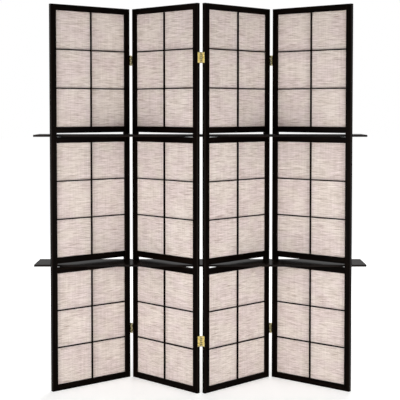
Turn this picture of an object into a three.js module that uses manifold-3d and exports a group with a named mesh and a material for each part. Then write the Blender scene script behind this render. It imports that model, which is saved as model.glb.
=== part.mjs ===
// Folding screen of four hinged panels with cloth windows, carrying two shelf boards
// that pass through slots in all four panels.
// Millimetres, +Z up, standing on z = 0, seen from the front along +Y.

import * as THREE from "three";
import { mergeVertices } from "three/addons/utils/BufferGeometryUtils.js";
import Module from "manifold-3d";

const wasm = await Module();
wasm.setup();

// Panel boards
const panelWidth = 432;
const boardThickness = 19;
const stileWidth = 28;
const stileEdgeRadius = 3;
const railHeight = 28;
const tenonLength = 12;
const tenonThickness = 8;
const tenonShoulder = 6;

// Windows, with their sticks and cloth
const bottomWindowHeight = 518;
const middleWindowHeight = 528;
const topWindowHeight = 534;
const stickWidth = 5;
const columnsOfPanes = 2;
const rowsOfPanes = 3;
const clothThickness = 1;
const clothInset = 4;

// Shelves
const shelfThickness = 9.5;
const shelfHeadroom = 8.5;
const shelfSideRoom = 10;
const shelfOverhang = 76;
const shelfOffset = 4;

// Hinges
const hingeLength = 48;
const leafThickness = 1.5;
const leafMargin = 3.2;
const knuckleRadius = 3.75;
const knuckleCount = 5;
const pivotFromFace = 3.2;
const pinRadius = 1.6;
const pinHeadRadius = 2.6;
const pinHeadHeight = 1;
const lowerHingeRise = 240;
const upperHingeDrop = 246;

// How far the panels stand turned from the line of the screen, in degrees
const innerDegrees = 43.2;
const outerDegrees = 38.2;

// Clearances, and what every cut runs past its faces
const fitGap = 0.3;
const pinGap = 0.1;
const overrun = 2;
const weldDistance = 1e-4;
const roundSegments = 16;
const edgeSegments = 4;

// Sizes that follow
const slotHeight = shelfThickness + shelfHeadroom;
const slotLength = panelWidth - 2 * stileWidth;
const halfWidth = panelWidth / 2;
const halfThickness = boardThickness / 2;
const halfSlot = slotLength / 2;
const halfRail = halfSlot - fitGap;
const grooveWidth = clothThickness + 2 * fitGap;
const grooveDepth = clothInset + fitGap;
const pivotFromEnd = knuckleRadius + fitGap;
const leafReach = boardThickness + pivotFromFace - leafMargin;
const knucklePitch = hingeLength / knuckleCount;
const tones = {
  lacquer: { color: 0x140d0a, roughness: 0.32, metalness: 0 },
  cloth: { color: 0xd6c9c2, roughness: 0.95, metalness: 0 },
  brass: { color: 0x9a8457, roughness: 0.38, metalness: 1 },
};

// One storey for each window, from the floor up: where its two rails and the opening
// between them begin and end
const storeys = [];
const windowHeights = [
  ["bottom", bottomWindowHeight],
  ["middle", middleWindowHeight],
  ["top", topWindowHeight],
];
let storeyFoot = 0;
for (const [name, height] of windowHeights) {
  const low = storeyFoot + railHeight;
  const high = low + height;
  storeys.push({ name, foot: storeyFoot, low, high, head: high + railHeight });
  storeyFoot = high + railHeight + slotHeight;
}
const screenHeight = storeys.at(-1).head;

// Solids from three.js geometry

function toSolid(geometry) {
  geometry.deleteAttribute("normal");
  geometry.deleteAttribute("uv");
  const merged = mergeVertices(geometry, weldDistance);
  const vertProperties = merged.getAttribute("position").array;
  const triVerts = new Uint32Array(merged.index.array);
  return new wasm.Manifold(new wasm.Mesh({ numProp: 3, vertProperties, triVerts }));
}

function toMesh(name, solid, tone) {
  const { vertProperties, triVerts } = solid.getMesh();
  const shared = new THREE.BufferGeometry();
  shared.setAttribute("position", new THREE.BufferAttribute(vertProperties, 3));
  shared.setIndex(new THREE.BufferAttribute(triVerts, 1));
  const geometry = shared.toNonIndexed();
  geometry.computeVertexNormals();
  const mesh = new THREE.Mesh(geometry, new THREE.MeshStandardMaterial(tone));
  mesh.name = name;
  return mesh;
}

// A box between two limits on each axis
function block([lowX, highX], [lowY, highY], [lowZ, highZ]) {
  const geometry = new THREE.BoxGeometry(highX - lowX, highY - lowY, highZ - lowZ);
  geometry.translate((lowX + highX) / 2, (lowY + highY) / 2, (lowZ + highZ) / 2);
  return toSolid(geometry);
}

// The two ends of a length that is centred on a place
function around(middle, length) {
  return [middle - length / 2, middle + length / 2];
}

// An upright round bar
function roundBar(radius, length, x, y, z) {
  const geometry = new THREE.CylinderGeometry(radius, radius, length, roundSegments);
  geometry.rotateX(Math.PI / 2);
  geometry.translate(x, y, z);
  return toSolid(geometry);
}

// A stile with its outer edges rounded, cut for the rails' tenons and the cloths' edges.
// It is drawn as the right one: the left one is the same board turned half round.
function makeStile(isLeft) {
  const corner = halfThickness - stileEdgeRadius;
  const arcX = halfWidth - stileEdgeRadius;
  const outline = new THREE.Shape();
  outline.moveTo(halfSlot, -halfThickness);
  outline.lineTo(arcX, -halfThickness);
  outline.absarc(arcX, -corner, stileEdgeRadius, -Math.PI / 2, 0, false);
  outline.lineTo(halfWidth, corner);
  outline.absarc(arcX, corner, stileEdgeRadius, 0, Math.PI / 2, false);
  outline.lineTo(halfSlot, halfThickness);
  outline.closePath();
  const options = { depth: screenHeight, bevelEnabled: false, curveSegments: edgeSegments };
  let stile = toSolid(new THREE.ExtrudeGeometry(outline, options));
  const mortiseSpan = [halfSlot - overrun, halfSlot + tenonLength + fitGap];
  const mortiseWidth = around(0, tenonThickness + 2 * fitGap);
  const grooveSpan = [halfSlot - overrun, halfSlot + grooveDepth];
  for (const storey of storeys) {
    for (const foot of [storey.foot, storey.high]) {
      const low = foot + tenonShoulder - fitGap;
      const high = foot + railHeight - tenonShoulder + fitGap;
      stile = stile.subtract(block(mortiseSpan, mortiseWidth, [low, high]));
    }
    const grooveRise = [storey.low - grooveDepth, storey.high + grooveDepth];
    stile = stile.subtract(block(grooveSpan, around(0, grooveWidth), grooveRise));
  }
  if (!isLeft) return stile;
  return turnedHalfRound(stile);
}

function turnedHalfRound(solid) {
  const { vertProperties, triVerts } = solid.getMesh();
  const geometry = new THREE.BufferGeometry();
  geometry.setAttribute("position", new THREE.BufferAttribute(vertProperties, 3));
  geometry.setIndex(new THREE.BufferAttribute(triVerts, 1));
  geometry.rotateZ(Math.PI);
  return toSolid(geometry);
}

// A rail with its tenons, grooved for the edge of the cloth in its storey's window
function makeRail(storey, foot) {
  const board = block(around(0, 2 * halfRail), around(0, boardThickness), [foot, foot + railHeight]);
  const tenonSpan = around(0, slotLength + 2 * tenonLength);
  const tenonRise = [foot + tenonShoulder, foot + railHeight - tenonShoulder];
  const tenons = block(tenonSpan, around(0, tenonThickness), tenonRise);
  const groove = block(
    around(0, slotLength + 2 * tenonLength + overrun),
    around(0, grooveWidth),
    [storey.low - grooveDepth, storey.high + grooveDepth],
  );
  return board.add(tenons).subtract(groove);
}

// A grille: the sticks that hold a window's cloth from the front and from the back, glued
// up with the rails beside them. The panel's bottom and top rails are boards of their own,
// and the sticks stop just short of those.
function makeGrille(storey) {
  const { low, high } = storey;
  const holdsFoot = storey !== storeys[0];
  const holdsHead = storey !== storeys.at(-1);
  const rails = [];
  if (holdsFoot) rails.push(makeRail(storey, storey.foot));
  if (holdsHead) rails.push(makeRail(storey, high));
  let grille = rails.reduce((joined, rail) => joined.add(rail));
  const sides = [
    [-halfThickness, -grooveWidth / 2],
    [grooveWidth / 2, halfThickness],
  ];
  const railSpan = around(0, 2 * halfRail);
  const columnPitch = slotLength / columnsOfPanes;
  const rowPitch = (high - low) / rowsOfPanes;
  const uprightRise = [
    holdsFoot ? low - stickWidth : low + fitGap,
    holdsHead ? high + stickWidth : high - fitGap,
  ];
  for (const side of sides) {
    for (let i = 1; i < columnsOfPanes; i++) {
      const x = i * columnPitch - halfSlot;
      grille = grille.add(block(around(x, stickWidth), side, uprightRise));
    }
    for (let i = 1; i < rowsOfPanes; i++) {
      const z = low + i * rowPitch;
      grille = grille.add(block(railSpan, side, around(z, stickWidth)));
    }
  }
  return grille;
}

// A stretched cloth, its edges held in the grooves round the window
function makeCloth(storey) {
  const span = around(0, slotLength + 2 * clothInset);
  return block(span, around(0, clothThickness), [storey.low - clothInset, storey.high + clothInset]);
}

// The place of a hinge's axis in its panel. endSign is 1 at the panel's right end and -1
// at its left; faceSign is 1 where the axis is behind the panel and -1 in front.
function pivotPlace(endSign, faceSign) {
  const x = endSign * (halfWidth + pivotFromEnd);
  const y = faceSign * (halfThickness + pivotFromFace);
  return new THREE.Vector3(x, y, 0);
}

// A hinge leaf on a panel's end face. holdsOuterKnuckles leaves own every other knuckle
// from the ends on, and their partners own those between.
function makeLeaf(endSign, faceSign, height, holdsOuterKnuckles) {
  const pivot = pivotPlace(endSign, faceSign);
  const plateX = endSign * (halfWidth + fitGap + leafThickness / 2);
  const plateY = pivot.y - (faceSign * leafReach) / 2;
  const rise = around(height, hingeLength);
  let leaf = block(around(plateX, leafThickness), around(plateY, leafReach), rise);
  for (let i = 0; i < knuckleCount; i++) {
    const z = height - hingeLength / 2 + (i + 0.5) * knucklePitch;
    const owned = (i % 2 === 0) === holdsOuterKnuckles;
    leaf = owned
      ? leaf.add(roundBar(knuckleRadius, knucklePitch - fitGap, pivot.x, pivot.y, z))
      : leaf.subtract(roundBar(knuckleRadius + fitGap, knucklePitch, pivot.x, pivot.y, z));
  }
  const bore = roundBar(pinRadius + pinGap, hingeLength + overrun, pivot.x, pivot.y, height);
  return leaf.subtract(bore);
}

// A hinge pin, headed at both ends
function makePin(endSign, faceSign, height) {
  const pivot = pivotPlace(endSign, faceSign);
  const shank = hingeLength / 2;
  const tip = shank + pinHeadHeight;
  const profile = [
    [0, -tip],
    [pinHeadRadius, -tip],
    [pinHeadRadius, -shank],
    [pinRadius, -shank],
    [pinRadius, shank],
    [pinHeadRadius, shank],
    [pinHeadRadius, tip],
    [0, tip],
  ].map(([radius, rise]) => new THREE.Vector2(radius, rise));
  const geometry = new THREE.LatheGeometry(profile, roundSegments);
  geometry.rotateX(Math.PI / 2);
  geometry.translate(pivot.x, pivot.y, height);
  return toSolid(geometry);
}

// A panel, as a group with its origin under the panel's middle
function makePanel(number, turnDegrees) {
  const panel = new THREE.Group();
  const prefix = `panel_${number}`;
  panel.name = prefix;
  panel.rotation.z = THREE.MathUtils.degToRad(turnDegrees);
  panel.add(toMesh(`${prefix}_left_stile`, makeStile(true), tones.lacquer));
  panel.add(toMesh(`${prefix}_right_stile`, makeStile(false), tones.lacquer));
  const [lowest, highest] = [storeys[0], storeys.at(-1)];
  const bottomRail = makeRail(lowest, lowest.foot);
  const topRail = makeRail(highest, highest.high);
  panel.add(toMesh(`${prefix}_bottom_rail`, bottomRail, tones.lacquer));
  panel.add(toMesh(`${prefix}_top_rail`, topRail, tones.lacquer));
  for (const storey of storeys) {
    panel.add(toMesh(`${prefix}_${storey.name}_grille`, makeGrille(storey), tones.lacquer));
    panel.add(toMesh(`${prefix}_${storey.name}_cloth`, makeCloth(storey), tones.cloth));
  }
  return panel;
}

// Turns a place in a panel into a place on the floor plan
function planPlace(panel, place) {
  return place.clone().applyEuler(panel.rotation).add(panel.position);
}

// Moves a panel so that one of its hinge axes stands at a place
function hangAt(panel, pivot, place) {
  panel.position.copy(place).sub(pivot.clone().applyEuler(panel.rotation));
}

// Two hinges between neighbouring panels. The left panel holds the pins.
function addHinges(foldName, leftPanel, rightPanel, faceSign) {
  const levels = { lower: lowerHingeRise, upper: screenHeight - upperHingeDrop };
  for (const [level, height] of Object.entries(levels)) {
    const prefix = `${foldName}_fold_${level}_hinge`;
    const leftLeaf = makeLeaf(1, faceSign, height, true);
    const rightLeaf = makeLeaf(-1, faceSign, height, false);
    leftPanel.add(toMesh(`${prefix}_left_leaf`, leftLeaf, tones.brass));
    leftPanel.add(toMesh(`${prefix}_pin`, makePin(1, faceSign, height), tones.brass));
    rightPanel.add(toMesh(`${prefix}_right_leaf`, rightLeaf, tones.brass));
  }
}

// The four panels, folded from the middle outwards. The middle fold stands forward with its
// hinges behind, and the two other folds stand back with their hinges in front.
const inFront = -1;
const behind = 1;
const leftEnd = -1;
const rightEnd = 1;
const panels = [
  makePanel(1, outerDegrees),
  makePanel(2, -innerDegrees),
  makePanel(3, innerDegrees),
  makePanel(4, -outerDegrees),
];
const [farLeft, nearLeft, nearRight, farRight] = panels;
const middlePivot = new THREE.Vector3();
hangAt(nearLeft, pivotPlace(rightEnd, behind), middlePivot);
hangAt(nearRight, pivotPlace(leftEnd, behind), middlePivot);
const leftPivot = planPlace(nearLeft, pivotPlace(leftEnd, inFront));
const rightPivot = planPlace(nearRight, pivotPlace(rightEnd, inFront));
hangAt(farLeft, pivotPlace(rightEnd, inFront), leftPivot);
hangAt(farRight, pivotPlace(leftEnd, inFront), rightPivot);
addHinges("left", farLeft, nearLeft, inFront);
addHinges("middle", nearLeft, nearRight, behind);
addHinges("right", nearRight, farRight, inFront);

const screen = new THREE.Group();
screen.add(...panels);
screen.updateMatrixWorld(true);
const screenBox = new THREE.Box3().setFromObject(screen);

// The depth that a straight board can have in the slot of a panel that stands turned
function slotReach(turnDegrees) {
  const turn = THREE.MathUtils.degToRad(turnDegrees);
  return slotLength * Math.sin(turn) - boardThickness * Math.cos(turn);
}

// The shelves run midway between the middles of the inner and the outer panels
const slotShift = Math.abs(farLeft.position.y - nearLeft.position.y);
const reach = Math.min(slotReach(innerDegrees), slotReach(outerDegrees));
const shelfDepth = reach - slotShift - 2 * shelfSideRoom;
const shelfLength = screenBox.max.x - screenBox.min.x + 2 * shelfOverhang;
const shelfLine = (farLeft.position.y + nearLeft.position.y) / 2;

function makeShelf(name, slotFoot) {
  const low = slotFoot + fitGap;
  const board = block(around(-shelfOffset, shelfLength), around(shelfLine, shelfDepth), [
    low,
    low + shelfThickness,
  ]);
  return toMesh(name, board, tones.lacquer);
}

screen.add(makeShelf("lower_shelf", storeys[0].head));
screen.add(makeShelf("upper_shelf", storeys[1].head));

// The origin is under the middle of everything
const wholeBox = new THREE.Box3().setFromObject(screen);
const middle = wholeBox.getCenter(new THREE.Vector3());
screen.position.set(-middle.x, -middle.y, 0);

export default screen;
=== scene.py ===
# The looks of a four-panel folding screen with two shelves: rounded lacquered boards, woven cloth
# in its windows and brass hinges, in a pale studio. Metres, +Z up, seen from the front along +Y.
import math

import bmesh
import bpy
import numpy as np
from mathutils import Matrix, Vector


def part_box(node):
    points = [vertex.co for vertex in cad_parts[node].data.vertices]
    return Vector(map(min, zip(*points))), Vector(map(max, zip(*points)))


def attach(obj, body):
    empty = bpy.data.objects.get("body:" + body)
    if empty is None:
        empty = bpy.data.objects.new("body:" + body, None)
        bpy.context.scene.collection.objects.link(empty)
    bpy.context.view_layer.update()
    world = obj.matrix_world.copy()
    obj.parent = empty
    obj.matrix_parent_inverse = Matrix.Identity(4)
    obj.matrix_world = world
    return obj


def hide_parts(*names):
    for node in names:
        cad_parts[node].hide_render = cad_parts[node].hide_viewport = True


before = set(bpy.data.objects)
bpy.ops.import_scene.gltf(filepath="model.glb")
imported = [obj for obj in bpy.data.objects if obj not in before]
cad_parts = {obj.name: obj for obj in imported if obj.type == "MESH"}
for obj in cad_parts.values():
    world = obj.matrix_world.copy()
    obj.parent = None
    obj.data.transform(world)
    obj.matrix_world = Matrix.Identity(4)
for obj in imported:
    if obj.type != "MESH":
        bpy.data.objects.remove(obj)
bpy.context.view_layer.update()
scene = bpy.context.scene
mm = 0.001
chance = np.random.default_rng(31)
patternReach = 9  # m of a pattern, from which each piece draws its own starting place

# Camera

photo = {
    "place": (-0.001, -4.696, 1.3),
    "lens": 90.1,  # mm
    "sensor": 36,  # mm wide
    "tippedDown": 2.4,  # degrees
    "shiftUp": -0.12,  # share of the picture's width
}


def makeCamera():
    data = bpy.data.cameras.new("camera")
    data.sensor_width = photo["sensor"]
    data.lens = photo["lens"]
    data.shift_y = photo["shiftUp"]
    camera = bpy.data.objects.new("camera", data)
    camera.location = photo["place"]
    camera.rotation_euler = (math.radians(90 - photo["tippedDown"]), 0, 0)
    scene.collection.objects.link(camera)
    scene.camera = camera


makeCamera()
scene.view_settings.view_transform = "Standard"
print("camera set")


# Shader maths: a wire is an output socket of a material, and sums on wires add Math nodes

class Wire:
    def __init__(self, sheet, socket):
        self.sheet, self.socket = sheet, socket

    def maths(self, operation, first, second):
        return self.sheet.add("ShaderNodeMath", {"operation": operation}, {0: first, 1: second})

    def __add__(self, other):
        return self.maths("ADD", self, other)

    __radd__ = __add__

    def __sub__(self, other):
        return self.maths("SUBTRACT", self, other)

    def __rsub__(self, other):
        return self.maths("SUBTRACT", other, self)

    def __mul__(self, other):
        return self.maths("MULTIPLY", self, other)

    __rmul__ = __mul__

    def __pow__(self, other):
        return self.maths("POWER", self, other)


# A material or world under construction, whose last shader goes to its output
class Finish:
    def __init__(self, owner):
        self.owner = owner
        owner.use_nodes = True
        self.tree = owner.node_tree
        self.tree.nodes.clear()

    def add(self, kind, settings=None, sockets=None, output=0):
        node = self.tree.nodes.new(kind)
        for key, value in (settings or {}).items():
            if key == "stops":
                self.setStops(node.color_ramp, value)
            else:
                setattr(node, key, value)
        for key, value in (sockets or {}).items():
            if isinstance(value, Wire):
                self.tree.links.new(value.socket, node.inputs[key])
            else:
                node.inputs[key].default_value = value
        return Wire(self, node.outputs[output]) if node.outputs else None

    def setStops(self, ramp, stops):
        while len(ramp.elements) < len(stops):
            ramp.elements.new(1)
        for element, (position, colour) in zip(ramp.elements, stops):
            element.position = position
            element.color = colour

    def own(self):
        return self.add("ShaderNodeAttribute", {"attribute_name": "own"}, output="Vector")

    def given(self, name):
        return self.add("ShaderNodeAttribute", {"attribute_name": name}, output="Fac")

    def stretched(self, place, by):
        settings = {"operation": "MULTIPLY"}
        return self.add("ShaderNodeVectorMath", settings, {0: place, 1: by})

    def noise(self, place, detail=2.0, roughness=0.5, distortion=0.0):
        sockets = {
            "Vector": place,
            "Scale": 1.0,
            "Detail": detail,
            "Roughness": roughness,
            "Distortion": distortion,
        }
        return self.add("ShaderNodeTexNoise", None, sockets)

    # Noise less its middle value, on a plane whose two directions are scaled apart
    def uneven(self, first, second, scale, roughness):
        place = self.joined(first * scale[0], second * scale[1])
        return self.noise(place, roughness=roughness) - 0.5

    def range(self, value, low, high, toLow=0.0, toHigh=1.0):
        sockets = {0: value, 1: low, 2: high, 3: toLow, 4: toHigh}
        return self.add("ShaderNodeMapRange", {"interpolation_type": "SMOOTHSTEP"}, sockets)

    # Sockets 6 and 7 of a Mix node are its two colours, and output 2 is the mixed one
    def mix(self, factor, first, second, blend="MIX"):
        settings = {"data_type": "RGBA", "blend_type": blend}
        return self.add("ShaderNodeMix", settings, {0: factor, 6: first, 7: second}, 2)

    def floor(self, value):
        return self.add("ShaderNodeMath", {"operation": "FLOOR"}, {0: value})

    def joined(self, first, second):
        return self.add("ShaderNodeCombineXYZ", None, {0: first, 1: second})

    # Half a sine wave over a share from 0 to 1
    def hump(self, share):
        return self.add("ShaderNodeMath", {"operation": "SINE"}, {0: share * math.pi})

    def bump(self, height, strength, distance):
        sockets = {"Height": height, "Strength": strength, "Distance": distance}
        return self.add("ShaderNodeBump", None, sockets)

    def finish(self, shader, kind="ShaderNodeOutputMaterial"):
        self.add(kind, None, {"Surface": shader})
        return self.owner


# A colour as it is written, made linear
def tint(code):
    shares = np.array([int(code[i : i + 2], 16) for i in (1, 3, 5)]) / 255
    linear = np.where(shares <= 0.04045, shares / 12.92, ((shares + 0.055) / 1.055) ** 2.4)
    return (*linear.tolist(), 1.0)


# Near-black lacquer over a fine straight grain, with the brown of the wood nearer at rubbed edges.
# Scales are per metre, along the grain and twice across it.

lacquerLook = {
    "edge": "#1c110b",
    "figureScale": (5, 120, 120),
    "figureNoise": (3.0, 0.6, 0.4),  # detail, roughness and distortion
    "figureRange": (0.42, 0.68),
    "poreScale": (25, 1400, 1400),
    "peelScale": (260, 260, 260),
    "cloudScale": (3, 14, 14),
    "grainShare": 0.7,
    "cloudRoughness": 0.12,
    "poreRoughness": 0.06,
    "poreRelief": 0.5,
    "peelRelief": 0.5,
    "grainRelief": 0.2,
    "bump": 0.12,
    "bumpDepth": 0.3 * mm,
}
frameLook = {
    "face": "#040201",
    "grain": "#110905",
    "roughness": 0.38,
    "shine": 0.016,
    "polish": 0.12,  # the coat on the faces at a panel's ends
    "coatRoughness": 0.3,
}
shelfLook = {
    "face": "#080504",
    "grain": "#1a100b",
    "roughness": 0.38,
    "shine": 0.0,
    "coat": 0.2,
    "coatRoughness": 0.2,
}


def makeLacquer(name, look):
    lacquer = lacquerLook
    finish = Finish(bpy.data.materials.new(name))
    own = finish.own()
    figure = finish.noise(finish.stretched(own, lacquer["figureScale"]), *lacquer["figureNoise"])
    pores = finish.noise(finish.stretched(own, lacquer["poreScale"]))
    peel = finish.noise(finish.stretched(own, lacquer["peelScale"]), detail=1.0)
    cloud = finish.noise(finish.stretched(own, lacquer["cloudScale"]))
    grain = finish.range(figure, *lacquer["figureRange"])
    tone = finish.mix(grain * lacquer["grainShare"], tint(look["face"]), tint(look["grain"]))
    tone = finish.mix(finish.given("rub") * cloud, tone, tint(lacquer["edge"]))
    rough = look["roughness"] + (cloud - 0.5) * lacquer["cloudRoughness"]
    rough = rough + (pores - 0.5) * lacquer["poreRoughness"]
    relief = pores * lacquer["poreRelief"] + peel * lacquer["peelRelief"]
    relief = relief + grain * lacquer["grainRelief"]
    coat = look["coat"] if "coat" in look else finish.given("polish") * look["polish"]
    sockets = {
        "Base Color": tone,
        "Roughness": rough,
        "Specular IOR Level": look["shine"],
        "Coat Weight": coat,
        "Coat Roughness": look["coatRoughness"],
        "Normal": finish.bump(relief, lacquer["bump"], lacquer["bumpDepth"]),
    }
    return finish.finish(finish.add("ShaderNodeBsdfPrincipled", None, sockets))


# Plain woven cloth: thick uneven weft yarns, each with a tone and thickness of its own, over fine
# warp, with darker slubs and slow drifts of tint. A yarn's number is the whole part of its place
# along the warp over the pitch, and what is left over is the place across the yarn. Scales are per
# metre, or per yarn where a yarn's number is scaled.

clothLook = {
    "dark": "#a18c80",
    "middle": "#d5cac4",
    "light": "#f2e9e6",
    "slub": "#a08a7d",
    "pinkWash": "#fffafb",
    "yellowWash": "#fffdf9",
    "weftPitch": 1.3 * mm,
    "warpPitch": 2.4 * mm,
    "wander": 3 * mm,
    "wanderScale": (7, 16, 1),
    "warpWander": 0.3,  # the warp's share of the weft's wander
    "threadSharpness": 5.0,
    "base": 0.56,  # place on the ramp from dark to light, to which the shares below add
    "yarnShare": 1.25,
    "yarnScale": (22, 2.7),  # along a weft yarn, by weft yarn
    "streakShare": 0.85,
    "streakScale": (10, 0.5),
    "uprightShare": 0.45,
    "uprightScale": (0.45, 5),  # by warp yarn, along it
    "driftShare": 0.2,
    "driftScale": (9, 12, 1),
    "grooveShadeShare": 0.22,
    "threadShare": 0.25,
    "slubShare": 0.75,
    "slubScale": (13, 0.8),
    "slubRange": (0.58, 0.68),
    "washRange": (0.4, 0.6),  # of the drift, from the pink wash to the yellow one
    "threadRelief": 0.6,
    "slubRelief": 0.8,
    "bump": 0.4,
    "bumpDepth": 0.35 * mm,
    "roughness": 0.95,
    "shine": 0.2,
    "sheen": 0.1,
}


meanHump = 0.64  # the mean of half a wave, about two over pi


def makeClothFinish():
    look = clothLook
    finish = Finish(bpy.data.materials.new("window_cloth"))
    own = finish.own()
    wander = finish.noise(finish.stretched(own, look["wanderScale"])) - 0.5
    wander = wander * look["wander"]
    parts = finish.add("ShaderNodeSeparateXYZ", None, {0: own}).socket.node
    across, up = Wire(finish, parts.outputs[0]), Wire(finish, parts.outputs[1])
    weftPlace = (up + wander) * (1 / look["weftPitch"])
    warpPlace = (across + wander * look["warpWander"]) * (1 / look["warpPitch"])
    weft, warp = finish.floor(weftPlace), finish.floor(warpPlace)
    ridge = finish.hump(weftPlace - weft)
    thread = finish.hump(warpPlace - warp) ** look["threadSharpness"]
    over = finish.add("ShaderNodeMath", {"operation": "PINGPONG"}, {0: weft + warp, 1: 1.0})
    yarn = finish.uneven(across, weft, look["yarnScale"], 0.5)
    streaks = finish.uneven(across, weft, look["streakScale"], 0.4)
    uprights = finish.uneven(warp, up, look["uprightScale"], 0.6)
    drift = finish.noise(finish.stretched(own, look["driftScale"]))
    slubPlace = finish.joined(across * look["slubScale"][0], weft * look["slubScale"][1])
    slubs = finish.range(finish.noise(slubPlace, detail=1.0), *look["slubRange"])
    shade = look["base"] + yarn * look["yarnShare"] + streaks * look["streakShare"]
    shade = shade + uprights * look["uprightShare"] + (drift - 0.5) * look["driftShare"]
    # Painted shade in the grooves between weft yarns: darker at each yarn's edges than along its
    # middle
    shade = shade + (ridge - meanHump) * look["grooveShadeShare"]
    shade = shade + thread * (over - 0.5) * look["threadShare"]
    stops = [
        (0.0, tint(look["dark"])),
        (0.5, tint(look["middle"])),
        (1.0, tint(look["light"])),
    ]
    tone = finish.add("ShaderNodeValToRGB", {"stops": stops}, {0: shade})
    tone = finish.mix(slubs * look["slubShare"], tone, tint(look["slub"]))
    yellower = finish.range(drift, *look["washRange"])
    wash = finish.mix(yellower, tint(look["pinkWash"]), tint(look["yellowWash"]))
    tone = finish.mix(1.0, tone, wash, "MULTIPLY")
    relief = ridge * (yarn + 1.0) + thread * over * look["threadRelief"]
    relief = relief + slubs * ridge * look["slubRelief"]
    sockets = {
        "Base Color": tone,
        "Roughness": look["roughness"],
        "Specular IOR Level": look["shine"],
        "Sheen Weight": look["sheen"],
        "Normal": finish.bump(relief, look["bump"], look["bumpDepth"]),
    }
    return finish.finish(finish.add("ShaderNodeBsdfPrincipled", None, sockets))


# Satin brass, a little tarnished in patches, with painted shade, nearly black, at the ends of each
# knuckle where two knuckles meet. Along each knuckle the attribute of that name runs from 1 to 2,
# and it is 0 on all other brass.

brassLook = {
    "bright": "#eedfa4",
    "dull": "#8a7b48",
    "paintedShade": "#22221e",
    "paintedShadeThick": 0.95,
    "paintedShadeThin": 0.45,
    "paintedShadeReach": (0.04, 0.32),  # shares of a knuckle from its end, between which it thins
    "paintedShadeBlur": 0.2,
    "knuckleFrom": (0.4, 0.6),  # between a plate's 0 and a knuckle's 1
    "patchScale": (140, 140, 140),  # per metre
    "patchNoise": (3.0, 0.6),  # detail and roughness
    "patchRange": (0.5, 0.68),
    "brushScale": (2600, 2600, 300),
    "roughness": 0.3,
    "patchRoughness": 0.25,
    "bump": 0.15,
    "bumpDepth": 0.1 * mm,
}


def makeBrass():
    look = brassLook
    finish = Finish(bpy.data.materials.new("hinge_brass"))
    place = finish.add("ShaderNodeTexCoord", output="Object")
    patches = finish.noise(finish.stretched(place, look["patchScale"]), *look["patchNoise"])
    brushing = finish.noise(finish.stretched(place, look["brushScale"]))
    tarnish = finish.range(patches, *look["patchRange"])
    tone = finish.mix(tarnish, tint(look["bright"]), tint(look["dull"]))
    knuckle = finish.given("knuckle")
    # Painted shade where two knuckles meet: darkest at each knuckle's ends, thinning towards its
    # middle
    fromEnd = finish.add("ShaderNodeMath", {"operation": "PINGPONG"}, {0: knuckle, 1: 0.5})
    fromEnd = fromEnd + (patches - 0.5) * look["paintedShadeBlur"]
    paintedShade = finish.range(fromEnd, *look["paintedShadeReach"], look["paintedShadeThick"], look["paintedShadeThin"])
    paintedShade = paintedShade * finish.range(knuckle, *look["knuckleFrom"])
    tone = finish.mix(paintedShade, tone, tint(look["paintedShade"]))
    sockets = {
        "Base Color": tone,
        "Metallic": 1.0,
        "Roughness": look["roughness"] + (patches - 0.5) * look["patchRoughness"],
        "Normal": finish.bump(brushing, look["bump"], look["bumpDepth"]),
    }
    return finish.finish(finish.add("ShaderNodeBsdfPrincipled", None, sockets))


frameLacquer = makeLacquer("frame_lacquer", frameLook)
shelfLacquer = makeLacquer("shelf_lacquer", shelfLook)
windowCloth = makeClothFinish()
hingeBrass = makeBrass()
print("finishes made")


# Places in the frame. A panel has axes of its own: along it to the right, through it to the back,
# and up, from a point on the floor below its middle.

def pointsOf(node):
    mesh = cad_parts[node].data
    values = np.empty(len(mesh.vertices) * 3, np.float32)
    mesh.vertices.foreach_get("co", values)
    return values.reshape(-1, 3).astype(float)


# A panel's middle cloth is a thin box on its axes: the middle of that box's four corners on the
# floor plan is the panel's middle, and the way in which they spread most is along the panel
class Panel:
    def __init__(self, number):
        self.body = f"panel_{number}"
        plan = pointsOf(f"panel_{number}_middle_cloth")[:, :2]
        corners = plan[np.unique(plan.round(4), axis=0, return_index=True)[1]]
        self.middle = corners.mean(0)
        spread = np.linalg.svd(corners - self.middle)[2][0]
        along = spread * np.sign(spread[0])
        self.turn = np.array([along, (-along[1], along[0])])

    def inside(self, points):
        plan = (points[:, :2] - self.middle) @ self.turn.T
        return np.column_stack([plan, points[:, 2]])

    def outside(self, points):
        plan = points[:, :2] @ self.turn + self.middle
        return np.column_stack([plan, points[:, 2]])

    def turned(self, arrows):
        return np.column_stack([arrows[:, :2] @ self.turn, arrows[:, 2]])

    def span(self, node):
        points = self.inside(pointsOf(node))
        return points.min(0), points.max(0)


panels = {number: Panel(number) for number in (1, 2, 3, 4)}


# Shapes. Each is a dictionary of points, faces and what else is known of each point: on a board its
# outward arrow, its own place in the pattern and how rubbed and polished it is, on cloth its own
# place alone, and on a leaf its place along a knuckle. Faces are rows of numbers of points.

# Several shapes as one: the numbers in each shape's faces go up by the count of points before it
def joined(shapes):
    counts = [len(shape["points"]) for shape in shapes]
    starts = np.cumsum([0] + counts[:-1])
    faces = [rows + start for shape, start in zip(shapes, starts) for rows in shape["faces"]]
    whole = {"faces": faces}
    for key in shapes[0]:
        if key != "faces":
            whole[key] = np.concatenate([shape[key] for shape in shapes])
    return whole


# The faces of a grid of points whose columns run round: each face joins two neighbours in a row
# with the same two in the next row
def gridFaces(rows, columns):
    index = np.arange(rows * columns).reshape(rows, columns)
    beside = np.roll(index, -1, axis=1)
    faces = np.stack([index[:-1], beside[:-1], beside[1:], index[1:]], axis=-1)
    return faces.reshape(-1, 4), index


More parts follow.
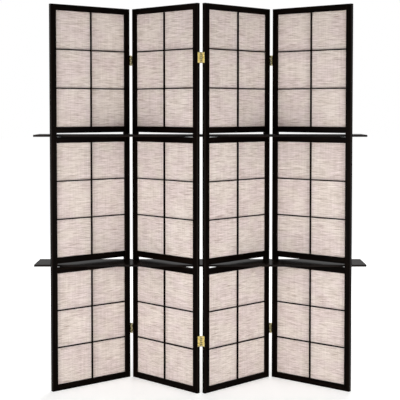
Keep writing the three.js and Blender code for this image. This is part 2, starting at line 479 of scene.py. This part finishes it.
boards = {
    "arcSteps": 4,
    "edgeRadius": 1.0 * mm,
    "outerRadius": 3 * mm,  # the stiles' edges at a panel's ends
    "stickRadius": 0.5 * mm,
    "shelfRadius": 1.4 * mm,
    "endShare": 0.8,  # an end's rounding, as a share of the least edge radius
    "jointGap": 0.3 * mm,
    "polishFrom": 0.7,  # how far an arrow must point the polished way
    "polishOver": 0.25,
}


# Eases from 0 to 1: three times the square less twice the cube
def smooth(share):
    share = np.clip(share, 0, 1)
    return share * share * (3 - 2 * share)


# A board between two corners. Its section is a rectangle with a quarter circle at each corner, and
# it is carried along the board. Within one end radius of either end the section is drawn in by the
# radius times 1 - cos(t) while it moves on by the radius times sin(t). A point is rubbed by how far
# its arrow leans from the nearest axis.
def boardShape(low, high, along, radii, polished=(0, 0, 0)):
    low, high = np.asarray(low, float), np.asarray(high, float)
    radii = np.asarray(radii, float)
    endRadius = radii.min() * boards["endShare"]
    steps = boards["arcSteps"]
    section = [(along + 1) % 3, (along + 2) % 3]
    half, middle = (high - low)[section] / 2, (high + low)[section] / 2
    signs = np.array([(1, 1), (-1, 1), (-1, -1), (1, -1)])
    turns = (np.arange(4)[:, None] + np.linspace(0, 1, steps + 1)) * math.pi / 2
    outward = np.stack([np.cos(turns), np.sin(turns)], axis=-1)
    centres = middle + signs[:, None, :] * (half - radii[:, None, None])
    quarter = np.linspace(0, math.pi / 2, steps + 1)
    tilt = np.concatenate([-quarter[::-1], quarter])[:, None, None]
    atLowEnd = np.arange(2 * (steps + 1))[:, None, None] <= steps
    drawnIn = endRadius * (1 - np.cos(tilt))
    nearLow = low[along] + endRadius * (1 + np.sin(tilt))
    nearHigh = high[along] - endRadius * (1 - np.sin(tilt))
    level = np.where(atLowEnd, nearLow, nearHigh)
    reach = (radii[:, None] - drawnIn)[..., None]
    rows, columns = len(tilt), 4 * (steps + 1)
    points = np.empty((rows, 4, steps + 1, 3))
    points[..., section] = centres + reach * outward
    points[..., along] = level
    arrows = np.empty_like(points)
    arrows[..., section] = np.cos(tilt)[..., None] * outward
    arrows[..., along] = np.sin(tilt)
    points, arrows = points.reshape(-1, 3), arrows.reshape(-1, 3)
    faces, index = gridFaces(rows, columns)
    flatness = np.abs(arrows).max(1)
    polish = (arrows @ np.array(polished) - boards["polishFrom"]) / boards["polishOver"]
    return {
        "points": points,
        "faces": [faces, index[:1, ::-1], index[-1:]],
        "arrows": arrows,
        "own": (points - low)[:, [along, *section]] + chance.uniform(0, patternReach, 3),
        "rub": (1 - flatness) / (1 - math.sqrt(0.5)),
        "polish": smooth(polish),
    }


def addMesh(name, shape, material):
    mesh = bpy.data.meshes.new(name)
    faces = [face for rows in shape["faces"] for face in rows.tolist()]
    mesh.from_pydata(shape["points"].tolist(), [], faces)
    for key in ("own", "rub", "polish", "knuckle"):
        if key not in shape:
            continue
        kind, field = ("FLOAT_VECTOR", "vector") if key == "own" else ("FLOAT", "value")
        layer = mesh.attributes.new(key, kind, "POINT")
        layer.data.foreach_set(field, shape[key].astype(np.float32).ravel())
    mesh.shade_smooth()
    if "arrows" in shape:
        mesh.normals_split_custom_set_from_vertices(shape["arrows"].tolist())
    mesh.materials.append(material)
    piece = bpy.data.objects.new(name, mesh)
    scene.collection.objects.link(piece)
    return piece


def addBoards(name, shapes, panel, material, nodes):
    shape = joined(shapes)
    if panel:
        shape["points"] = panel.outside(shape["points"])
        shape["arrows"] = panel.turned(shape["arrows"])
    piece = addMesh(name, shape, material)
    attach(piece, panel.body if panel else nodes[0])
    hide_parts(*nodes)
    return piece


# Stiles, full height. The face at the panel's end has wide roundings and is polished.

def addStiles(panel):
    edge, outer = boards["edgeRadius"], boards["outerRadius"]
    sides = {"left": ((edge, outer, outer, edge), -1), "right": ((outer, edge, edge, outer), 1)}
    for side, (radii, end) in sides.items():
        node = f"{panel.body}_{side}_stile"
        low, high = panel.span(node)
        shape = boardShape(low, high, 2, radii, (end, 0, 0))
        addBoards(f"{panel.body}_stile_{side}", [shape], panel, frameLacquer, [node])


# Windows: where each opening begins and ends, from its cloth, whose edges are held in grooves

windows = {
    "names": ("bottom", "middle", "top"),
    "clothHeld": 4 * mm,
    "clothRoom": 0.8 * mm,  # from the cloth's middle to the sticks
    "stickWidth": 5 * mm,
    "columns": 2,
    "rows": 3,
    "lapGap": 0.15 * mm,
}


def opening(panel, name):
    low, high = panel.span(f"{panel.body}_{name}_cloth")
    inset = np.array([windows["clothHeld"], 0, windows["clothHeld"]])
    return low + inset, high - inset


def addRails(panel):
    footLow, footHigh = panel.span(f"{panel.body}_bottom_rail")
    headLow, headHigh = panel.span(f"{panel.body}_top_rail")
    openings = {name: opening(panel, name) for name in windows["names"]}
    height = footHigh[2] - footLow[2]
    feet = {
        "foot_rail": (footLow[2], "bottom_rail"),
        "rail_under_lower_slot": (openings["bottom"][1][2], "bottom_grille"),
        "rail_over_lower_slot": (openings["middle"][0][2] - height, "middle_grille"),
        "rail_under_upper_slot": (openings["middle"][1][2], "middle_grille"),
        "rail_over_upper_slot": (openings["top"][0][2] - height, "top_grille"),
        "head_rail": (headLow[2], "top_rail"),
    }
    gap = np.array([boards["jointGap"], 0, 0])
    rim = openings["bottom"]
    for label, (foot, node) in feet.items():
        low = np.array([rim[0][0], footLow[1], foot]) + gap
        high = np.array([rim[1][0], footHigh[1], foot + height]) - gap
        shape = boardShape(low, high, 0, [boards["edgeRadius"]] * 4)
        addBoards(f"{panel.body}_{label}", [shape], panel, frameLacquer, [f"{panel.body}_{node}"])


# The sticks in front of and behind a cloth: an upright between two columns, and level ones cut off
# beside it, as they show where the two are halved together

def stickShapes(low, high):
    half, gap = windows["stickWidth"] / 2, windows["lapGap"]
    radii = [boards["stickRadius"]] * 4
    columns = np.linspace(low[0], high[0], windows["columns"] + 1)
    levels = np.linspace(low[2], high[2], windows["rows"] + 1)[1:-1]
    joint = boards["jointGap"]
    shapes = []
    for x in columns[1:-1]:
        foot, head = (x - half, low[1], low[2] + joint), (x + half, high[1], high[2] - joint)
        shapes.append(boardShape(foot, head, 2, radii))
    for left, right in zip(columns[:-1], columns[1:]):
        start = left + (joint if left == columns[0] else half + gap)
        end = right - (joint if right == columns[-1] else half + gap)
        for z in levels:
            shapes.append(boardShape((start, low[1], z - half), (end, high[1], z + half), 0, radii))
    return shapes


def addSticks(panel, name):
    low, high = opening(panel, name)
    node = f"{panel.body}_{name}_grille"
    front, back = panel.span(node)[0][1], panel.span(node)[1][1]
    room = windows["clothRoom"]
    sides = {"front": (front, -room), "back": (room, back)}
    for side, (near, far) in sides.items():
        shapes = stickShapes((low[0], near, low[2]), (high[0], far, high[2]))
        addBoards(f"{panel.body}_{name}_{side}_sticks", shapes, panel, frameLacquer, [node])


# Cloth: a grid over the window and the grooves. Between the sticks each pane is slack by a product
# of two half waves, and the weft rises and falls in a few slow waves of its own.

cloth = {
    "cell": 5 * mm,
    "slack": 0.16 * mm,
    "ripple": 0.05 * mm,
    "rippleLength": 17 * mm,
    "rippleCount": 5,
    "rippleSpread": (0.6, 1.6),  # shares of the ripple's length
    "ripplePhase": 9,  # radians
    "rippleSlant": 0.03,
    "thickness": 0.5 * mm,
}


def addCloth(panel, name):
    node = f"{panel.body}_{name}_cloth"
    low, high = panel.span(node)
    start, end = opening(panel, name)
    columns = round((high[0] - low[0]) / cloth["cell"]) + 1
    rows = round((high[2] - low[2]) / cloth["cell"]) + 1
    x, z = np.meshgrid(np.linspace(low[0], high[0], columns), np.linspace(low[2], high[2], rows))
    paneX = (x - start[0]) / (end[0] - start[0]) * windows["columns"]
    paneZ = (z - start[2]) / (end[2] - start[2]) * windows["rows"]
    slackOf = chance.uniform(-1, 1, (windows["rows"] + 2, windows["columns"] + 2))
    inPane = slackOf[np.floor(paneZ).astype(int) + 1, np.floor(paneX).astype(int) + 1]
    depth = cloth["slack"] * inPane * np.sin(math.pi * paneX) * np.sin(math.pi * paneZ)
    for _ in range(cloth["rippleCount"]):
        length = chance.uniform(*cloth["rippleSpread"])
        phase = chance.uniform(0, cloth["ripplePhase"])
        slant = chance.uniform(-cloth["rippleSlant"], cloth["rippleSlant"])
        turn = (z + slant * x) / (cloth["rippleLength"] * length) * 2 * math.pi + phase
        depth = depth + cloth["ripple"] / cloth["rippleCount"] * np.sin(turn)
    index = np.arange(rows * columns).reshape(rows, columns)
    faces = np.stack([index[:-1, :-1], index[:-1, 1:], index[1:, 1:], index[1:, :-1]], axis=-1)
    flat = np.column_stack([x.ravel(), depth.ravel(), z.ravel()])
    own = np.column_stack([x.ravel(), z.ravel(), np.zeros(x.size)])
    own = own + chance.uniform(0, patternReach, 3)
    shape = {"points": panel.outside(flat), "faces": [faces.reshape(-1, 4)], "own": own}
    piece = addMesh(f"{panel.body}_{name}_window_cloth", shape, windowCloth)
    wall = piece.modifiers.new("wall", "SOLIDIFY")
    wall.thickness = cloth["thickness"]
    wall.offset = 0
    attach(piece, panel.body)
    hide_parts(node)


for panel in panels.values():
    addStiles(panel)
    addRails(panel)
    for name in windows["names"]:
        addSticks(panel, name)
        addCloth(panel, name)
print("panels made")


# Shelves

def addShelf(node):
    low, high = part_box(node)
    shape = boardShape(low, high, 0, [boards["shelfRadius"]] * 4)
    addBoards(f"{node}_board", [shape], None, shelfLacquer, [node])


for node in ("lower_shelf", "upper_shelf"):
    addShelf(node)
print("shelves made")


# Hinges. A leaf has axes of its own: from its free edge towards the pin, up, and out from the wood

hinge = {
    "thickness": 1.5 * mm,
    "knuckles": 5,
    "knuckleGap": 0.3 * mm,
    "plateShort": 3.5 * mm,  # the plate stops this short of the pin's axis
    "curl": 305,  # degrees that a knuckle is rolled
    "curlSteps": 28,
    "sideSteps": 12,
    "sinkRadius": 2.9 * mm,
    "sinkFoot": 1.7 * mm,  # the countersink's radius at its floor
    "sinkDepth": 1.1 * mm,
    "screwRows": (4.6 * mm, 10.4 * mm),  # from the free edge, by turns
    "screwCount": 4,
    "bevel": 0.12 * mm,
    "bevelSegments": 2,
    "sharpAngle": 40,  # degrees between two faces, from which their edge is sharp
    "mergeWithin": 0.001 * mm,
    "overlap": 0.6 * mm,  # of a knuckle's sheet and the plate
    "sunk": 0.03 * mm,  # the sheet's end, below the plate's two faces
}


# Points spaced evenly from each corner to the next, round to the first
def ring(corners, steps):
    ends = np.roll(corners, -1, axis=0)
    share = np.linspace(0, 1, steps, endpoint=False)[:, None]
    return np.concatenate([a + (b - a) * share for a, b in zip(corners, ends)])


# A screw stands halfway up each of a leaf's equal bands, near its free edge and further in by turns
def screwPlaces(low, high):
    band = (high - low) / hinge["screwCount"]
    return [
        (hinge["screwRows"][k % 2], low + (k + 0.5) * band) for k in range(hinge["screwCount"])
    ]


# The flat of a leaf: a band round each countersink, from the band's rim in to the sink's edge and
# down its cone to the floor, then the walls and the back
def plateShapes(width, low, high):
    steps, depth = hinge["sideSteps"], hinge["thickness"]
    band = (high - low) / hinge["screwCount"]
    shapes = []
    for k, centre in enumerate(screwPlaces(low, high)):
        foot = low + k * band
        rim = [(0, foot), (width, foot), (width, foot + band), (0, foot + band)]
        rim = ring(np.array(rim), steps)
        aim = rim - centre
        aim = aim / np.linalg.norm(aim, axis=1)[:, None]
        loops = [
            (rim, depth),
            (centre + aim * hinge["sinkRadius"], depth),
            (centre + aim * hinge["sinkFoot"], depth - hinge["sinkDepth"]),
        ]
        points = np.concatenate([np.column_stack([p, np.full(len(p), t)]) for p, t in loops])
        faces, index = gridFaces(len(loops), len(rim))
        shapes.append({"points": points, "faces": [faces, index[-1:]]})
    corners = [(0, low), (width, low)]
    corners += [(width, low + k * band) for k in range(1, hinge["screwCount"] + 1)]
    corners += [(0, low + k * band) for k in range(hinge["screwCount"], 0, -1)]
    edge = ring(np.array(corners), steps)
    points = np.concatenate([np.column_stack([edge, np.full(len(edge), t)]) for t in (0, depth)])
    faces, index = gridFaces(2, len(edge))
    shapes.append({"points": points, "faces": [faces, index[:1, ::-1]]})
    for shape in shapes:
        shape["knuckle"] = np.zeros(len(shape["points"]))
    return shapes


# A knuckle: the leaf's sheet carried on in a straight line to the pin and rolled round it. Its
# section runs out along the inner side of the sheet and back along the outer one.
def knuckleShape(width, reach, radius, low, high):
    depth = hinge["thickness"]
    turns = np.linspace(-math.pi / 2, math.radians(hinge["curl"] - 90), hinge["curlSteps"] + 1)
    outward = np.column_stack([np.cos(turns), np.sin(turns)])
    centre = np.array([reach, radius])
    outer, inner = centre + outward * radius, centre + outward * (radius - depth)
    start = width - hinge["overlap"]
    outer = np.concatenate([[(start, hinge["sunk"])], outer])
    inner = np.concatenate([[(start, depth - hinge["sunk"])], inner])
    loop = np.concatenate([inner, outer[::-1]])
    count = len(loop)
    points = np.concatenate(
        [np.column_stack([loop[:, 0], np.full(count, z), loop[:, 1]]) for z in (low, high)]
    )
    faces, index = gridFaces(2, count)
    step = np.arange(count // 2 - 1)
    strip = np.stack([step, step + 1, count - 2 - step, count - 1 - step], axis=-1)
    sides = [faces, strip[:, ::-1], strip + count]
    return {"points": points, "faces": sides, "knuckle": np.repeat([1.0, 2.0], count)}


# A piece of brass from shapes on a leaf's axes, which place turns into the panel's
def addHardware(name, shapes, panel, place, flipped, bevel):
    shape = joined(shapes)
    shape["points"] = panel.outside(place(shape["points"]))
    if flipped:
        shape["faces"] = [rows[:, ::-1] for rows in shape["faces"]]
    piece = addMesh(name, shape, hingeBrass)
    build = bmesh.new()
    build.from_mesh(piece.data)
    bmesh.ops.remove_doubles(build, verts=build.verts, dist=hinge["mergeWithin"])
    build.to_mesh(piece.data)
    build.free()
    sharp = math.radians(hinge["sharpAngle"])
    piece.data.set_sharp_from_angle(angle=sharp)
    if bevel:
        rounding = piece.modifiers.new("rounding", "BEVEL")
        rounding.width = bevel
        rounding.segments = hinge["bevelSegments"]
        rounding.limit_method = "ANGLE"
        rounding.angle_limit = sharp
        rounding.harden_normals = True
    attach(piece, panel.body)
    return piece


screw = {
    "headRadius": 2.7 * mm,
    "rise": 0.5 * mm,
    "rimUnder": 0.15 * mm,
    "crossReach": 1.5 * mm,
    "crossHalf": 0.36 * mm,
    "crossDepth": 0.8 * mm,
    "soft": 0.16 * mm,  # width of the cross's sloping sides
    "shank": 1.3 * mm,
    "length": 13 * mm,
    "pointShanks": 3,  # the point's length, in radii of the shank
    "headRows": 13,
    "columns": 40,
}


# A screw, turned round its axis: its point, its shank, the cone under the head, and a low dome over
# the head, less a cross whose two bars have soft sides
def screwShape(centre, turn):
    angle = np.linspace(0, 2 * math.pi, screw["columns"], endpoint=False)
    radius = np.linspace(0, screw["headRadius"], screw["headRows"])[::-1, None]
    across, along = radius * np.cos(angle), radius * np.sin(angle)
    least, most = np.minimum(abs(across), abs(along)), np.maximum(abs(across), abs(along))
    bar = smooth((screw["crossHalf"] + screw["soft"] - least) / screw["soft"])
    cross = bar * smooth((screw["crossReach"] - most) / screw["soft"])
    top = hinge["thickness"] - screw["rimUnder"]
    dome = top + screw["rise"] * (1 - (radius / screw["headRadius"]) ** 2) + 0 * angle
    head = dome - screw["crossDepth"] * cross
    below = [
        (0, -screw["length"]),
        (screw["shank"], -screw["length"] + screw["pointShanks"] * screw["shank"]),
        (screw["shank"], top - screw["headRadius"] + screw["shank"]),
    ]
    circle = np.column_stack([np.cos(angle), np.sin(angle)])
    rows = [np.column_stack([r * circle, np.full(angle.size, t)]) for r, t in below]
    rows += [np.column_stack(p) for p in zip(across, along, head)]
    points = np.concatenate(rows)
    turned = np.array([(math.cos(turn), math.sin(turn)), (-math.sin(turn), math.cos(turn))])
    points[:, :2] = points[:, :2] @ turned + centre
    faces, index = gridFaces(len(rows), screw["columns"])
    return {"points": points, "faces": [faces]}


pin = {"shank": 2.15 * mm, "head": 2.6 * mm, "headHeight": 1.0 * mm, "steps": 32, "domeSteps": 5}


# A pin: a profile turned round its axis, a straight shank between two low domes
def addPin(name, panel, middle, half, node):
    quarter = np.linspace(0, math.pi / 2, pin["domeSteps"])
    shoulder = half - pin["headHeight"]
    radii = pin["head"] * np.cos(quarter)
    rise = shoulder + pin["headHeight"] * np.sin(quarter)
    radius = np.concatenate([radii[::-1], [pin["shank"]] * 2, radii])
    level = np.concatenate([-rise[::-1], [-shoulder, shoulder], rise])
    angle = np.linspace(0, 2 * math.pi, pin["steps"], endpoint=False)
    points = np.stack(
        [
            middle[0] + radius[:, None] * np.cos(angle),
            middle[1] + radius[:, None] * np.sin(angle),
            middle[2] + level[:, None] + 0 * angle,
        ],
        axis=-1,
    )
    faces, index = gridFaces(len(radius), pin["steps"])
    shape = {"points": points.reshape(-1, 3), "faces": [faces]}
    piece = addHardware(name, [shape], panel, lambda p: p, False, 0)
    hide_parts(node)


def addHinge(fold, level, leftPanel, rightPanel):
    prefix = f"{fold}_fold_{level}_hinge"
    for side, panel in (("left", leftPanel), ("right", rightPanel)):
        pinLow, pinHigh = panel.span(f"{prefix}_pin")
        leafLow, leafHigh = panel.span(f"{prefix}_{side}_leaf")
        pivot = (pinLow + pinHigh) / 2
        endSign, faceSign = np.sign(pivot[0]), np.sign(pivot[1])
        seat = min(abs(leafLow[0]), abs(leafHigh[0]))
        radius = abs(pivot[0]) - seat
        reach = max(faceSign * (pivot[1] - leafLow[1]), faceSign * (pivot[1] - leafHigh[1]))
        width = reach - hinge["plateShort"]
        low, high = leafLow[2], leafHigh[2]

        def place(points):
            x = endSign * (seat + points[:, 2])
            y = pivot[1] - faceSign * (reach - points[:, 0])
            return np.column_stack([x, y, points[:, 1]])

        flipped = endSign * faceSign < 0
        shapes = plateShapes(width, low, high)
        pitch = (high - low) / hinge["knuckles"]
        trim = hinge["knuckleGap"] / 2
        first = 0 if side == "left" else 1
        for k in range(first, hinge["knuckles"], 2):
            foot = low + k * pitch
            shapes.append(knuckleShape(width, reach, radius, foot + trim, foot + pitch - trim))
        leafName = f"{prefix}_leaf_{side}"
        leaf = addHardware(leafName, shapes, panel, place, flipped, hinge["bevel"])
        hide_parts(f"{prefix}_{side}_leaf")
        screws = []
        for centre in screwPlaces(low, high):
            screws.append(screwShape(np.array(centre), chance.uniform(0, math.pi)))
        addHardware(f"{prefix}_screws_{side}", screws, panel, place, flipped, 0)
        if side == "left":
            half = (pinHigh[2] - pinLow[2]) / 2
            addPin(f"{prefix}_domed_pin", panel, pivot, half, f"{prefix}_pin")


for fold, left, right in (("left", 1, 2), ("middle", 2, 3), ("right", 3, 4)):
    for level in ("lower", "upper"):
        addHinge(fold, level, panels[left], panels[right])
print("hinges made")


# Studio: a pale floor, a white surround and soft lamps

studio = {
    "floor": "#eaeae9",
    "floorReach": 40,
    "floorLevel": -0.2 * mm,
    "glowNear": 0.33,  # added to the lit floor, so that it shows white and keeps the shadow
    "glowFar": 0.76,
    "glowReach": (0.9, 3.2),  # m from the screen's middle
    "surround": 0.3,  # the white surround's light on surfaces
    "lamps": {
        "left_lamp": {
            "place": (-1.8, -2.0, 0.75),
            "aim": (0, 0, -0.3),
            "size": (1.2, 1.0),
            "watts": 45,
        },
        "right_lamp": {
            "place": (1.8, -2.0, 0.75),
            "aim": (0, 0, -0.3),
            "size": (1.2, 1.0),
            "watts": 42,
        },
        "back_lamp": {
            "place": (0.8, 3.0, 3.0),
            "aim": (0, 0, 0.8),
            "size": (2.6, 1.2),
            "watts": 110,
        },
        "top_lamp": {
            "place": (0, -1.0, 3.8),
            "aim": (0, 0, 0),
            "size": (3.2, 1.6),
            "watts": 9,
        },
    },
}


# 1 for what the camera sees straight, in a reflection or through glass, and 0 for light on surfaces
def seen(finish):
    path = finish.add("ShaderNodeLightPath").socket.node
    names = ("Is Camera Ray", "Is Glossy Ray", "Is Transmission Ray")
    straight, mirrored, through = (Wire(finish, path.outputs[name]) for name in names)
    total = straight + mirrored + through
    return finish.add("ShaderNodeMath", {"operation": "MINIMUM"}, {0: total, 1: 1.0})


def makeSurround():
    world = bpy.data.worlds.new("surround")
    finish = Finish(world)
    strength = studio["surround"] + seen(finish) * (1 - studio["surround"])
    sockets = {"Color": (1, 1, 1, 1), "Strength": strength}
    finish.finish(finish.add("ShaderNodeBackground", None, sockets), "ShaderNodeOutputWorld")
    scene.world = world


def makeFloor():
    finish = Finish(bpy.data.materials.new("pale_floor"))
    matte = finish.add("ShaderNodeBsdfDiffuse", None, {"Color": tint(studio["floor"])})
    place = finish.add("ShaderNodeTexCoord", output="Object")
    away = finish.add("ShaderNodeVectorMath", {"operation": "LENGTH"}, {0: place}, "Value")
    strength = finish.range(away, *studio["glowReach"], studio["glowNear"], studio["glowFar"])
    glow = finish.add("ShaderNodeEmission", None, {"Strength": seen(finish) * strength})
    finish.finish(finish.add("ShaderNodeAddShader", None, {0: matte, 1: glow}))
    reach, level = studio["floorReach"], studio["floorLevel"]
    corners = np.array([(-1, -1), (1, -1), (1, 1), (-1, 1)]) * reach
    points = np.column_stack([corners, np.full(4, level)])
    floor = addMesh("floor", {"points": points, "faces": [np.array([[0, 1, 2, 3]])]}, finish.owner)


def makeLamps():
    for name, values in studio["lamps"].items():
        data = bpy.data.lights.new(name, "AREA")
        data.shape = "RECTANGLE"
        data.size, data.size_y = values["size"]
        data.energy = values["watts"]
        lamp = bpy.data.objects.new(name, data)
        place = np.array(values["place"], float)
        lamp.location = place
        away = Vector(place - np.array(values["aim"], float))
        lamp.rotation_euler = away.to_track_quat("Z", "Y").to_euler()
        lamp.visible_camera = False
        scene.collection.objects.link(lamp)


makeSurround()
makeFloor()
makeLamps()
print("studio made")
